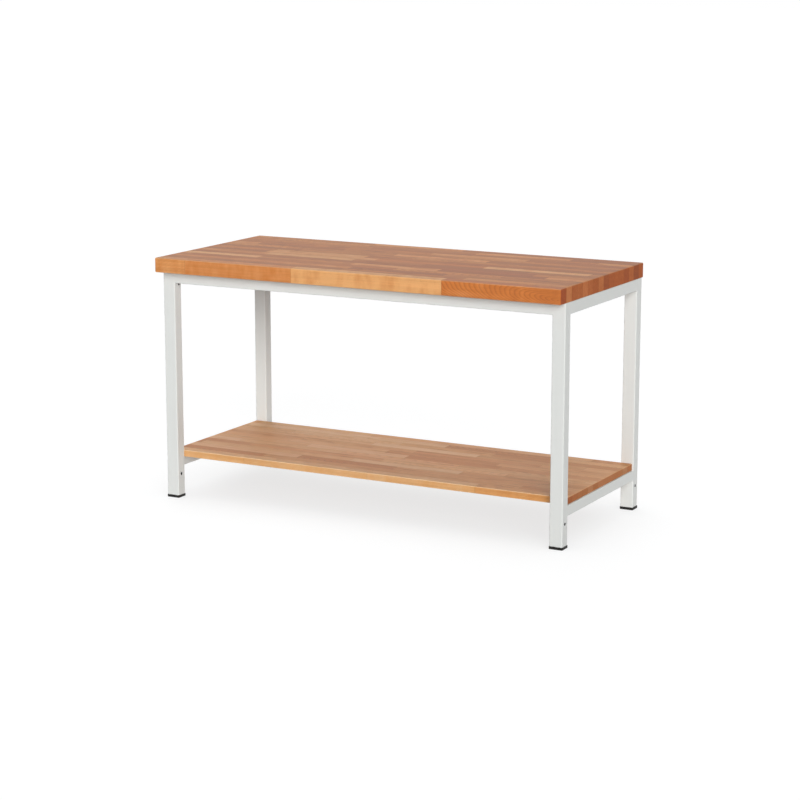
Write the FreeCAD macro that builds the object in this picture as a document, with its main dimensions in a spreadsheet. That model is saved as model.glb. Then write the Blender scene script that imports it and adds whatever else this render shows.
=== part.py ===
"""Assembly table: a glued beech worktop on a welded frame of rectangular steel tube, with a beech shelf.

Millimetres, +Z up. X runs along the table, Y from its front edge to its rear edge.
The origin is on the floor, under the middle of the worktop.
"""
import FreeCAD, Part
import Sketcher
import math
import os

from FreeCAD import Vector

doc = FreeCAD.newDocument("AssemblyTable")


# ---------------------------------------------------------------- driving dimensions
SIZES = [
    # the whole table
    ("table_length", 1500, "worktop, left to right"),
    ("table_depth", 670, "worktop, front to rear"),
    ("table_height", 840, "floor to the top of the worktop"),
    ("top_thickness", 50, "worktop board"),
    ("top_edge_radius", 3.5, "rounding of the worktop's edges"),
    ("side_overhang", 3, "worktop past the frame at each end"),
    ("front_overhang", 45, "worktop past the frame at the front"),
    ("rear_overhang", 4, "worktop past the frame at the rear"),
    # welded tube frame
    ("leg_width", 45, "leg tube along X"),
    ("leg_depth", 40, "leg tube along Y"),
    ("tube_wall", 2, "wall of every tube"),
    ("tube_corner", 3, "outer corner radius of every tube"),
    ("rail_width", 30, "every rail tube, across"),
    ("top_rail_height", 40, "rails under the worktop"),
    ("lower_rail_height", 35, "rails under the shelf"),
    # holes in the legs
    ("cross_hole_diameter", 11, "through both side walls of a leg"),
    ("cross_hole_height", 82, "above the floor"),
    ("vent_hole_diameter", 8, "in the leg wall that faces the other end"),
    ("vent_hole_drop", 47, "below the top of the frame"),
    ("vent_hole_shift", 6, "off the leg's middle, towards the middle of the table"),
    # shelf
    ("shelf_top_height", 162, "floor to the top of the shelf"),
    ("shelf_thickness", 24, "shelf board"),
    ("shelf_edge_radius", 3, "rounding of the shelf's edges"),
    ("shelf_end_inset", 4, "shelf end inside the frame's side"),
    ("shelf_leg_gap", 1, "shelf edge to the legs before and behind it"),
    # feet
    ("foot_height", 9, "flange between the leg and the floor"),
    ("foot_lip", 1.75, "flange past the tube on each side"),
    ("foot_corner", 4, "corner radius of the flange"),
    ("foot_chamfer", 1, "bottom edge of the flange"),
    ("plug_depth", 24, "plug inside the tube"),
    ("plug_gap", 1, "plug core to the tube's wall, bridged by the ribs"),
    ("plug_wall", 3, "wall of the hollow plug"),
    ("rib_thickness", 1.5, "height of one rib round the plug"),
    ("rib_pitch", 6, "from rib to rib"),
    ("rib_count", 4, "ribs up the plug"),
    # plates that hold the worktop
    ("plate_thickness", 3, "corner plates and tabs"),
    ("plate_drop", 4, "frame top to the top of a plate"),
    ("corner_plate_leg", 70, "corner plate along each rail, from the leg"),
    ("corner_plate_hole_inset", 18, "hole to the leg's faces"),
    ("tab_width", 60, "tab along the rail"),
    ("plate_hole_diameter", 6.6, "hole for a worktop screw"),
    # screws
    ("top_screw_diameter", 6, "shank of a worktop screw"),
    ("top_screw_length", 37, "shank with its point"),
    ("screw_point", 5, "length of a screw's point"),
    ("hex_across_flats", 10, "head of a worktop screw"),
    ("hex_height", 4.5, "head of a worktop screw"),
    ("collar_diameter", 13, "collar under the hexagon"),
    ("collar_thickness", 1.5, "collar under the hexagon"),
    ("shelf_screw_diameter", 5, "shank of a shelf screw"),
    ("shelf_screw_length", 20, "shank with its point"),
    ("pan_head_diameter", 9.5, "head of a shelf screw"),
    ("pan_head_height", 3.2, "head of a shelf screw"),
    ("shelf_screw_pitch", 220, "from shelf screw to shelf screw"),
    ("shelf_screw_hole", 5.5, "in the rail's upper wall"),
    ("access_hole", 12, "in the rail's lower wall, for the screwdriver"),
    ("pilot_clearance", 0.2, "pilot hole in the wood over the screw's diameter"),
]

sheet = doc.addObject("Spreadsheet::Sheet", "Sizes")
for row, (alias, value, note) in enumerate(SIZES, start=1):
    sheet.set(f"A{row}", note)
    sheet.set(f"B{row}", str(value))
    sheet.setAlias(f"B{row}", alias)
doc.recompute()


def cell(alias):
    """The sheet's cell as an expression."""
    return f"Sizes.{alias}"


def size(alias):
    """The sheet's cell as a number."""
    return float(sheet.get(alias))


# Expressions worked out from the sheet. Each is a length in the table's frame.
HALF_FRAME = f"({cell('table_length')} / 2 - {cell('side_overhang')})"
FRAME_FRONT = f"(-{cell('table_depth')} / 2 + {cell('front_overhang')})"
FRAME_REAR = f"({cell('table_depth')} / 2 - {cell('rear_overhang')})"
FRAME_TOP = f"({cell('table_height')} - {cell('top_thickness')})"
LEG_X = f"({HALF_FRAME} - {cell('leg_width')} / 2)"
LEG_FRONT_Y = f"({FRAME_FRONT} + {cell('leg_depth')} / 2)"
LEG_REAR_Y = f"({FRAME_REAR} - {cell('leg_depth')} / 2)"
LONG_RAIL_LENGTH = f"(2 * {HALF_FRAME} - 2 * {cell('leg_width')})"
SIDE_RAIL_LENGTH = f"({FRAME_REAR} - {FRAME_FRONT} - 2 * {cell('leg_depth')})"
FRAME_MIDDLE_Y = f"(({FRAME_FRONT} + {FRAME_REAR}) / 2)"
RAIL_HALF_WIDTH = f"({cell('rail_width')} / 2)"
SHELF_UNDERSIDE = f"({cell('shelf_top_height')} - {cell('shelf_thickness')})"
PLATE_UNDERSIDE = f"({FRAME_TOP} - {cell('plate_drop')} - {cell('plate_thickness')})"
PLATE_HOLE_X = f"({HALF_FRAME} - {cell('leg_width')} - {cell('corner_plate_hole_inset')})"
PLATE_HOLE_FRONT_Y = f"({FRAME_FRONT} + {cell('leg_depth')} + {cell('corner_plate_hole_inset')})"
PLATE_HOLE_REAR_Y = f"({FRAME_REAR} - {cell('leg_depth')} - {cell('corner_plate_hole_inset')})"

parts = []


# ---------------------------------------------------------------- helpers
def new_body(label, x="0", y="0", z="0"):
    """A body whose origin stands at x, y, z, given as expressions."""
    body = doc.addObject("PartDesign::Body", label)
    body.Label = label
    for axis, expression in zip("xyz", (x, y, z)):
        body.setExpression(f"Placement.Base.{axis}", expression)
    parts.append(body)
    return body


def new_sketch(body, name, role):
    """A sketch on one of the body's own origin planes."""
    sketch = body.newObject("Sketcher::SketchObject", f"{body.Name}_{name}")
    plane = [feature for feature in body.Origin.OriginFeatures if feature.Role == role][0]
    sketch.AttachmentSupport = [(plane, "")]
    sketch.MapMode = "FlatFace"
    return sketch


def bind(sketch, index, name, expression):
    """Names a constraint and drives it with an expression."""
    sketch.renameConstraint(index, name)
    sketch.setExpression(f"Constraints.{name}", expression)


def add_rectangle(sketch, name, width, height):
    """A rectangle centred on the sketch's origin, its sizes given as expressions."""
    corners = [Vector(-1, -1, 0), Vector(1, -1, 0), Vector(1, 1, 0), Vector(-1, 1, 0)]
    first = sketch.GeometryCount
    for start, end in zip(corners, corners[1:] + corners[:1]):
        sketch.addGeometry(Part.LineSegment(start, end))
    for step in range(4):
        following = first + (step + 1) % 4
        sketch.addConstraint(Sketcher.Constraint("Coincident", first + step, 2, following, 1))
    for step, kind in enumerate(["Horizontal", "Vertical", "Horizontal", "Vertical"]):
        sketch.addConstraint(Sketcher.Constraint(kind, first + step))
    sketch.addConstraint(Sketcher.Constraint("Symmetric", first, 1, first + 1, 2, -1, 1))
    across = sketch.addConstraint(Sketcher.Constraint("DistanceX", first, 1, first, 2, 2.0))
    bind(sketch, across, f"{name}_width", width)
    up = sketch.addConstraint(Sketcher.Constraint("DistanceY", first + 1, 1, first + 1, 2, 2.0))
    bind(sketch, up, f"{name}_height", height)


def place_point(sketch, geometry, point, name, coordinates):
    """Holds a point at x, y from the origin. Each is None, or a sign and a distance's expression."""
    for kind, axis, coordinate in zip(["DistanceX", "DistanceY"], [-2, -1], coordinates):
        if coordinate is None:
            sketch.addConstraint(Sketcher.Constraint("PointOnObject", geometry, point, axis))
            continue
        sign, expression = coordinate
        ends = [(-1, 1), (geometry, point)]
        if sign < 0:
            ends.reverse()
        held = sketch.addConstraint(Sketcher.Constraint(kind, *ends[0], *ends[1], 1.0))
        bind(sketch, held, f"{name}_{kind[-1].lower()}", expression)


def add_circle(sketch, name, diameter, coordinates=(None, None)):
    """A circle of a given diameter about a point held by place_point."""
    signs = [coordinate[0] if coordinate else 0 for coordinate in coordinates]
    circle = sketch.addGeometry(Part.Circle(Vector(signs[0], signs[1], 0), Vector(0, 0, 1), 1.0))
    across = sketch.addConstraint(Sketcher.Constraint("Diameter", circle, 2.0))
    bind(sketch, across, f"{name}_diameter", diameter)
    place_point(sketch, circle, 3, name, coordinates)


def add_polygon(sketch, points):
    """A closed outline through points, each held by place_point."""
    guesses = []
    for x, y in points:
        guesses.append(Vector(x[0] if x else 0, y[0] if y else 0, 0) * (1 + len(guesses)))
    first = sketch.GeometryCount
    for start, end in zip(guesses, guesses[1:] + guesses[:1]):
        sketch.addGeometry(Part.LineSegment(start, end))
    count = len(points)
    for step in range(count):
        following = first + (step + 1) % count
        sketch.addConstraint(Sketcher.Constraint("Coincident", first + step, 2, following, 1))
    for step, coordinates in enumerate(points):
        place_point(sketch, first + step, 1, f"corner{step}", coordinates)


def pad(body, sketch, length, symmetric=False):
    """Pads a sketch along its normal, or evenly to both sides of it."""
    feature = body.newObject("PartDesign::Pad", f"{sketch.Name}_pad")
    feature.Profile = sketch
    feature.SideType = "Symmetric" if symmetric else "One side"
    feature.setExpression("Length", length)
    doc.recompute()
    return feature


def pocket(body, sketch, length, area, depth=None, reverse=False, symmetric=False):
    """Pockets a sketch, and checks the volume that it removed: area times depth.

    Without a depth the whole length of the pocket lies in solid.
    """
    before = body.Tip.Shape.Volume
    feature = body.newObject("PartDesign::Pocket", f"{sketch.Name}_pocket")
    feature.Profile = sketch
    feature.SideType = "Symmetric" if symmetric else "One side"
    feature.Reversed = reverse
    feature.setExpression("Length", length)
    doc.recompute()
    wanted = area * (depth or feature.Length.Value)
    removed = before - feature.Shape.Volume
    if abs(removed - wanted) > 0.01 * wanted:
        raise RuntimeError(f"{feature.Name} removed {removed:.1f} mm3, not {wanted:.1f}")


def dress_edges(body, kind, name, property_name, expression, wanted):
    """Dresses the tip's edges for which wanted(edge) holds."""
    base = body.Tip
    edges = [f"Edge{number}" for number, edge in enumerate(base.Shape.Edges, start=1) if wanted(edge)]
    if not edges:
        raise RuntimeError(f"{body.Label} has no edges for {name}")
    feature = body.newObject(f"PartDesign::{kind}", f"{body.Name}_{name}")
    feature.Base = (base, edges)
    feature.setExpression(property_name, expression)
    doc.recompute()


def round_edges(body, name, radius, wanted):
    """Fillets the tip's edges for which wanted(edge) holds."""
    dress_edges(body, "Fillet", name, "Radius", radius, wanted)


def chamfer_edges(body, name, width, wanted):
    """Chamfers the tip's edges for which wanted(edge) holds."""
    dress_edges(body, "Chamfer", name, "Size", width, wanted)


def along(edge, direction):
    """True for a straight edge that runs along a direction."""
    start, end = (vertex.Point for vertex in (edge.Vertexes[0], edge.Vertexes[-1]))
    run = end - start
    return run.Length > 1e-6 and abs(run.normalize().dot(direction)) > 0.999


def add_tube(body, role, direction, width, height, length, symmetric=True):
    """Rectangular tube with rounded corners, its section in one of the body's origin planes."""
    section = new_sketch(body, "section", role)
    add_rectangle(section, "outside", width, height)
    walls = f"2 * {cell('tube_wall')}"
    add_rectangle(section, "inside", f"{width} - {walls}", f"{height} - {walls}")
    doc.recompute()
    pad(body, section, length, symmetric)
    # An outer corner edge lies on the box of the whole tube, an inner one is inside it.
    box = body.Tip.Shape.BoundBox

    def across(point):
        return [abs(value) for value, part in zip(point, direction) if not part]

    reach = across(Vector(box.XMax, box.YMax, box.ZMax))

    def is_outer(edge):
        return all(abs(here - there) < 1e-3 for here, there in zip(across(edge.CenterOfMass), reach))

    outer_radius = cell("tube_corner")
    round_edges(body, "outer_corners", outer_radius, lambda edge: along(edge, direction) and is_outer(edge))
    inner_reach = [there - size("tube_wall") for there in reach]

    def is_inner(edge):
        return all(abs(here - there) < 1e-3 for here, there in zip(across(edge.CenterOfMass), inner_reach))

    inner_radius = f"{cell('tube_corner')} - {cell('tube_wall')}"
    round_edges(body, "inner_corners", inner_radius, lambda edge: along(edge, direction) and is_inner(edge))


def disc_area(diameter):
    """Area of a round hole."""
    return math.pi / 4 * diameter ** 2


def signed(sign, expression):
    """An expression, or its negative for the left or the front."""
    return expression if sign > 0 else f"-{expression}"


SIDES = {"left": -1, "right": 1}
LEG_ROWS = {"front": (-1, LEG_FRONT_Y), "rear": (1, LEG_REAR_Y)}


# ---------------------------------------------------------------- legs
def make_leg(row, side):
    """Upright tube from the foot to the worktop, with a cross hole low down and a vent hole near its top."""
    x = signed(SIDES[side], LEG_X)
    leg = new_body(f"leg_{row}_{side}", x, LEG_ROWS[row][1], cell("foot_height"))
    length = f"{FRAME_TOP} - {cell('foot_height')}"
    add_tube(leg, "XY_Plane", Vector(0, 0, 1), cell("leg_width"), cell("leg_depth"), length, symmetric=False)

    wall = size("tube_wall")
    low = new_sketch(leg, "cross_hole", "YZ_Plane")
    height = f"{cell('cross_hole_height')} - {cell('foot_height')}"
    add_circle(low, "hole", cell("cross_hole_diameter"), (None, (1, height)))
    doc.recompute()
    area = disc_area(size("cross_hole_diameter"))
    pocket(leg, low, f"2 * {cell('leg_width')}", area, 2 * wall, symmetric=True)

    # A pocket runs against its sketch's normal, +X, so the right legs need no reversing.
    high = new_sketch(leg, "vent_hole", "YZ_Plane")
    height = f"{FRAME_TOP} - {cell('vent_hole_drop')} - {cell('foot_height')}"
    inwards = (-LEG_ROWS[row][0], cell("vent_hole_shift"))
    add_circle(high, "hole", cell("vent_hole_diameter"), (inwards, (1, height)))
    doc.recompute()
    area = disc_area(size("vent_hole_diameter"))
    pocket(leg, high, cell("leg_width"), area, wall, reverse=SIDES[side] < 0)


# ---------------------------------------------------------------- feet
def make_foot(row, side):
    """Moulded cap: a flange under the leg, and a hollow ribbed plug that is pressed into the tube."""
    foot = new_body(f"foot_{row}_{side}", signed(SIDES[side], LEG_X), LEG_ROWS[row][1], "0")

    def section(name, grow, height="0"):
        """A rectangle at a height, larger than the leg's section by grow on each side."""
        sketch = new_sketch(foot, name, "XY_Plane")
        sketch.setExpression("AttachmentOffset.Base.z", height)
        width = f"{cell('leg_width')} + 2 * ({grow})"
        depth = f"{cell('leg_depth')} + 2 * ({grow})"
        add_rectangle(sketch, name, width, depth)
        doc.recompute()
        return sketch

    pad(foot, section("flange", cell("foot_lip")), cell("foot_height"))
    upright = Vector(0, 0, 1)
    round_edges(foot, "flange_corners", cell("foot_corner"), lambda edge: along(edge, upright))
    chamfer_edges(foot, "flange_chamfer", cell("foot_chamfer"), lambda edge: edge.BoundBox.ZMax < 1e-3)

    # The core of the plug, then one rib round it, repeated up the plug.
    to_core = f"-{cell('tube_wall')} - {cell('plug_gap')}"
    pad(foot, section("core", to_core, cell("foot_height")), cell("plug_depth"))
    first_rib = f"{cell('foot_height')} + {cell('rib_pitch')} / 2"
    rib = pad(foot, section("rib", f"-{cell('tube_wall')}", first_rib), cell("rib_thickness"))
    round_edges(
        foot,
        "rib_corners",
        f"{cell('tube_corner')} - {cell('tube_wall')}",
        lambda edge: along(edge, upright) and abs(edge.Length - size("rib_thickness")) < 1e-3,
    )
    rounding = foot.Tip
    ribs = foot.newObject("PartDesign::LinearPattern", f"{foot.Name}_ribs")
    ribs.Originals = [rib, rounding]
    upward = [feature for feature in foot.Origin.OriginFeatures if feature.Role == "Z_Axis"][0]
    ribs.Direction = (upward, [""])
    ribs.Mode = "Spacing"
    ribs.setExpression("Offset", cell("rib_pitch"))
    ribs.setExpression("Occurrences", cell("rib_count"))
    foot.Tip = ribs
    doc.recompute()

    # The plug is open at its top.
    plug_top = f"{cell('foot_height')} + {cell('plug_depth')}"
    hollow = section("hollow", f"{to_core} - {cell('plug_wall')}", plug_top)
    inset = size("tube_wall") + size("plug_gap") + size("plug_wall")
    opening = (size("leg_width") - 2 * inset) * (size("leg_depth") - 2 * inset)
    pocket(foot, hollow, cell("plug_depth"), opening)


# ---------------------------------------------------------------- rails
def make_long_top_rail(row):
    """Top rail along X between two legs, flush with their outer faces."""
    sign = LEG_ROWS[row][0]
    face = FRAME_REAR if sign > 0 else FRAME_FRONT
    y = f"{face} - {sign} * {RAIL_HALF_WIDTH}"
    rail = new_body(f"top_rail_{row}", "0", y, f"{FRAME_TOP} - {cell('top_rail_height')} / 2")
    add_tube(rail, "YZ_Plane", Vector(1, 0, 0), cell("rail_width"), cell("top_rail_height"), LONG_RAIL_LENGTH)


def make_side_rail(name, side, height, middle):
    """Rail along Y between a front and a rear leg, flush with their outer faces."""
    x = signed(SIDES[side], f"({HALF_FRAME} - {RAIL_HALF_WIDTH})")
    rail = new_body(f"{name}_{side}", x, FRAME_MIDDLE_Y, middle)
    add_tube(rail, "XZ_Plane", Vector(0, 1, 0), cell("rail_width"), height, SIDE_RAIL_LENGTH)
    return rail


def make_lower_rail(side):
    """Side rail under the shelf, with holes for the shelf's screws and for the screwdriver."""
    middle = f"{SHELF_UNDERSIDE} - {cell('lower_rail_height')} / 2"
    rail = make_side_rail("lower_rail", side, cell("lower_rail_height"), middle)
    # Upper wall, then lower wall: a pocket runs against its sketch's normal, +Z.
    for name, diameter, upward in (("screw", "shelf_screw_hole", True), ("access", "access_hole", False)):
        sketch = new_sketch(rail, f"{name}_holes", "XY_Plane")
        for number, sign in enumerate((-1, 0, 1)):
            y = (sign, cell("shelf_screw_pitch")) if sign else None
            add_circle(sketch, f"{name}{number}", cell(diameter), (None, y))
        doc.recompute()
        area = 3 * disc_area(size(diameter))
        pocket(rail, sketch, cell("lower_rail_height"), area, size("tube_wall"), upward)


# ---------------------------------------------------------------- plates
def make_corner_plate(row, side):
    """Five-sided plate in the corner of two top rails, notched for the leg, with a hole for a screw."""
    sx = SIDES[side]
    sy, leg_y = LEG_ROWS[row]
    corner_x = signed(sx, f"({HALF_FRAME} - {cell('leg_width')})")
    corner_y = f"{leg_y} - {sy} * {cell('leg_depth')} / 2"
    plate = new_body(f"corner_plate_{row}_{side}", corner_x, corner_y, PLATE_UNDERSIDE)
    outline = new_sketch(plate, "outline", "XY_Plane")
    to_side_rail = (sx, f"{cell('leg_width')} - {cell('rail_width')}")
    to_long_rail = (sy, f"{cell('leg_depth')} - {cell('rail_width')}")
    reach = cell("corner_plate_leg")
    points = [
        (None, None),
        (to_side_rail, None),
        (to_side_rail, (-sy, reach)),
        ((-sx, reach), to_long_rail),
        (None, to_long_rail),
    ]
    add_polygon(outline, points)
    inset = cell("corner_plate_hole_inset")
    add_circle(outline, "hole", cell("plate_hole_diameter"), ((-sx, inset), (-sy, inset)))
    doc.recompute()
    pad(plate, outline, cell("plate_thickness"))


def make_tab(row):
    """Rectangular plate on the middle of a long top rail, centred on its hole."""
    sign = LEG_ROWS[row][0]
    y = PLATE_HOLE_REAR_Y if sign > 0 else PLATE_HOLE_FRONT_Y
    tab = new_body(f"middle_tab_{row}", "0", y, PLATE_UNDERSIDE)
    outline = new_sketch(tab, "outline", "XY_Plane")
    to_rail = f"({cell('leg_depth')} - {cell('rail_width')} + {cell('corner_plate_hole_inset')})"
    add_rectangle(outline, "tab", cell("tab_width"), f"2 * {to_rail}")
    add_circle(outline, "hole", cell("plate_hole_diameter"))
    doc.recompute()
    pad(tab, outline, cell("plate_thickness"))


# ---------------------------------------------------------------- boards
def make_board(label, y, z, length, depth, thickness, edge_radius):
    """Board with every edge slightly rounded. Its origin is in the middle of its underside."""
    board = new_body(label, "0", y, z)
    outline = new_sketch(board, "outline", "XY_Plane")
    add_rectangle(outline, "board", length, depth)
    doc.recompute()
    pad(board, outline, thickness)
    round_edges(board, "edges", edge_radius, lambda edge: True)
    return board


def drill_pilots(board, centres, screw, depth):
    """Blind pilot holes in a board's underside, at centres that place_point can hold."""
    pilots = new_sketch(board, "pilots", "XY_Plane")
    diameter = f"{cell(screw)} + {cell('pilot_clearance')}"
    for number, centre in enumerate(centres):
        add_circle(pilots, f"pilot{number}", diameter, centre)
    doc.recompute()
    area = len(centres) * disc_area(size(screw) + size("pilot_clearance"))
    pocket(board, pilots, depth, area, reverse=True)


def make_worktop():
    """Worktop board, with a pilot hole over each plate."""
    lengths = [cell(name) for name in ("table_length", "table_depth", "top_thickness")]
    worktop = make_board("worktop", "0", FRAME_TOP, *lengths, cell("top_edge_radius"))
    rows = ((-1, f"-({PLATE_HOLE_FRONT_Y})"), (1, PLATE_HOLE_REAR_Y))
    centres = []
    for y in rows:
        for sign in (-1, 0, 1):
            centres.append(((sign, PLATE_HOLE_X) if sign else None, y))
    into_wood = f"{cell('top_screw_length')} - {cell('plate_thickness')} - {cell('plate_drop')} + 1"
    drill_pilots(worktop, centres, "top_screw_diameter", into_wood)


def make_shelf():
    """Shelf board between the front and the rear legs, on the lower rails."""
    length = f"2 * ({HALF_FRAME} - {cell('shelf_end_inset')})"
    depth = f"{SIDE_RAIL_LENGTH} - 2 * {cell('shelf_leg_gap')}"
    thickness, edge_radius = cell("shelf_thickness"), cell("shelf_edge_radius")
    shelf = make_board("shelf", FRAME_MIDDLE_Y, SHELF_UNDERSIDE, length, depth, thickness, edge_radius)
    rail_x = f"({HALF_FRAME} - {RAIL_HALF_WIDTH})"
    centres = []
    for side in (-1, 1):
        for sign in (-1, 0, 1):
            centres.append(((side, rail_x), (sign, cell("shelf_screw_pitch")) if sign else None))
    into_wood = f"{cell('shelf_screw_length')} - {cell('tube_wall')} + 1"
    drill_pilots(shelf, centres, "shelf_screw_diameter", into_wood)


# ---------------------------------------------------------------- screws
def primitive(kind, name, x, y, z, **lengths):
    """A Part primitive at x, y, z, its sizes and place given as expressions."""
    shape = doc.addObject(f"Part::{kind}", name)
    for axis, expression in zip("xyz", (x, y, z)):
        shape.setExpression(f"Placement.Base.{axis}", expression)
    for key, expression in lengths.items():
        shape.setExpression(key, expression)
    return shape


def make_shank(name, x, y, seat, diameter, length):
    """Shank from the seat up, with a conical point at its end."""
    radius = f"{cell(diameter)} / 2"
    straight = f"{cell(length)} - {cell('screw_point')}"
    shank = primitive("Cylinder", f"{name}_shank", x, y, seat, Radius=radius, Height=straight)
    top = f"{seat} + {straight}"
    point = primitive("Cone", f"{name}_point", x, y, top, Radius1=radius, Height=cell("screw_point"))
    point.Radius2 = 0
    return [shank, point]


def make_top_screw(name, x, y):
    """Hexagon-head wood screw with a collar, seated on a plate's underside."""
    collar_z = f"{PLATE_UNDERSIDE} - {cell('collar_thickness')}"
    collar_radius = f"{cell('collar_diameter')} / 2"
    collar = primitive(
        "Cylinder", f"{name}_collar", x, y, collar_z, Radius=collar_radius, Height=cell("collar_thickness")
    )
    corner_radius = f"{cell('hex_across_flats')} / 2 / cos(30)"
    hexagon = primitive(
        "Prism", f"{name}_hex", x, y, f"{collar_z} - {cell('hex_height')}",
        Circumradius=corner_radius, Height=cell("hex_height"),
    )
    hexagon.Polygon = 6
    shank = make_shank(name, x, y, PLATE_UNDERSIDE, "top_screw_diameter", "top_screw_length")
    return [collar, hexagon] + shank


def make_shelf_screw(name, x, y):
    """Pan-head wood screw, its head seated inside the rail on the upper wall."""
    seat = f"{SHELF_UNDERSIDE} - {cell('tube_wall')}"
    head = primitive(
        "Cone", f"{name}_head", x, y, f"{seat} - {cell('pan_head_height')}",
        Radius1=f"{cell('pan_head_diameter')} * 0.36", Radius2=f"{cell('pan_head_diameter')} / 2",
        Height=cell("pan_head_height"),
    )
    return [head] + make_shank(name, x, y, seat, "shelf_screw_diameter", "shelf_screw_length")


def make_screw_group(label, make_screw, centres):
    """One node of like screws, each a solid of its own."""
    screws = []
    for number, (x, y) in enumerate(centres, start=1):
        pieces = make_screw(f"{label}_{number}", x, y)
        screw = doc.addObject("Part::MultiFuse", f"{label}_{number}")
        screw.Shapes = pieces
        screws.append(screw)
    group = doc.addObject("Part::Compound", label)
    group.Label = label
    group.Links = screws
    parts.append(group)


# ---------------------------------------------------------------- the table
for row in LEG_ROWS:
    for side in SIDES:
        make_leg(row, side)
        make_foot(row, side)
        make_corner_plate(row, side)
    make_long_top_rail(row)
    make_tab(row)

for side in SIDES:
    rail_middle = f"{FRAME_TOP} - {cell('top_rail_height')} / 2"
    make_side_rail("top_rail", side, cell("top_rail_height"), rail_middle)
    make_lower_rail(side)

make_worktop()
make_shelf()

top_screw_centres = []
for y in (PLATE_HOLE_FRONT_Y, PLATE_HOLE_REAR_Y):
    top_screw_centres += [(f"-{PLATE_HOLE_X}", y), ("0", y), (PLATE_HOLE_X, y)]
make_screw_group("worktop_screws", make_top_screw, top_screw_centres)

for side, sign in SIDES.items():
    x = signed(sign, f"({HALF_FRAME} - {RAIL_HALF_WIDTH})")
    ys = [f"{FRAME_MIDDLE_Y} + ({step}) * {cell('shelf_screw_pitch')}" for step in (-1, 0, 1)]
    make_screw_group(f"shelf_screws_{side}", make_shelf_screw, [(x, y) for y in ys])

doc.recompute()

# ---------------------------------------------------------------- checks and files
for item in doc.Objects:
    if "Invalid" in item.State or "Error" in item.State:
        raise RuntimeError(f"{item.Name} is {item.State}")
for part in parts:
    if part.Shape.isNull() or not part.Shape.isValid() or not part.Shape.Solids:
        raise RuntimeError(f"{part.Label} has no valid solid")

os.makedirs("parts", exist_ok=True)
for part in parts:
    part.Shape.exportStep(os.path.join("parts", f"{part.Label}.step"))
    box = part.Shape.BoundBox
    spans = [
        f"{axis} {low:8.2f}..{high:8.2f}"
        for axis, low, high in (
            ("x", box.XMin, box.XMax),
            ("y", box.YMin, box.YMax),
            ("z", box.ZMin, box.ZMax),
        )
    ]
    volume = part.Shape.Volume / 1000
    print(f"{part.Label:26s} {len(part.Shape.Solids)} solid(s), {volume:9.2f} cm3, {', '.join(spans)}")
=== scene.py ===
"""Looks of an assembly table: beech boards, a coated tube frame with its welds, moulded feet and screws.

Metres, +Z up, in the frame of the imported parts: the origin is on the floor, under the worktop's middle.
"""
import itertools
import math

import bmesh
import bpy
from bpy.props import FloatProperty, FloatVectorProperty, IntProperty, PointerProperty
from mathutils import Matrix, Vector


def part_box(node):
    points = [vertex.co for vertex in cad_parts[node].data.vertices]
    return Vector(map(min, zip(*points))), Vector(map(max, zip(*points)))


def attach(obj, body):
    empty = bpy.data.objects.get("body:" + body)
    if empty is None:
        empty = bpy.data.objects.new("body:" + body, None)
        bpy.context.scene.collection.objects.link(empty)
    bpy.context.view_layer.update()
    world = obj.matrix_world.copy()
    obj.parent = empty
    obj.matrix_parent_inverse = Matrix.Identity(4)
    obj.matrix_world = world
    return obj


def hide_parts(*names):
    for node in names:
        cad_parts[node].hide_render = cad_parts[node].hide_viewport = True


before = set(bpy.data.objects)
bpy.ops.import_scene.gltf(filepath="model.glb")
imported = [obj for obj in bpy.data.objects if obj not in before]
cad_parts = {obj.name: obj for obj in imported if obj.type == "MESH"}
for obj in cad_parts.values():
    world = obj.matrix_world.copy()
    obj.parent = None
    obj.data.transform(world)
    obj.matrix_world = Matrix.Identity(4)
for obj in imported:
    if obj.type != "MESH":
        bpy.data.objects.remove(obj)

bpy.context.view_layer.update()

bl_info = {
    "name": "Assembly Table",
    "version": (1, 0, 0),
    "blender": (4, 5, 0),
    "location": "3D View > Sidebar > Table",
    "description": "Finishes the boards, frame, feet and screws of an assembly table",
    "category": "Object",
}

BODY = "root"
ROWS = ("front", "rear")
SIDES = ("left", "right")
TUBE_WALL = 0.002

# Sides of a turned shape, points round a corner and over a moulded edge, and the angle up to which an edge
# is shaded smooth.
TURNS = 36
CORNER_POINTS = 6
EDGE_POINTS = 5
SMOOTH_ANGLE = math.radians(35)

# Waves to the metre along, across and up through the staves of a board.
BLOTCHES = (4.0, 18.0, 18.0)
WANDERING = (2.2, 14.0, 14.0)
FIGURE = (34.0, 16.0, 16.0)
FIBRES = (5.0, 420.0, 420.0)
STREAKS = (1.6, 95.0, 95.0)
DASHES = (7.0, 62.0, 62.0)
FLECKS = (260.0, 1300.0, 1300.0)

# Welds: how deep a flush bead lies in its groove, in radii, how far that groove lies past a rail's end, how
# far the other beads start inside the tube's rounded corner and end below a rail's top, and the shares of a
# plate's side between which it is welded.
FLUSH = 0.875
GROOVE = 0.0011
CORNER_START = 0.002
TOP_CLEARANCE = 0.004
PLATE_WELD = (0.45, 0.85)

# Radius over the crests, and pitch, of the two kinds of wood screw.
HEX_THREAD = (0.003, 0.0028)
PAN_THREAD = (0.0025, 0.0022)


# ---- sizes and colours
def setting(prop, **settings):
    """A function that makes a property from its name, its default and its description."""
    def make(name, default, description):
        return prop(name=name, default=default, description=description, **settings)
    return make


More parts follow.
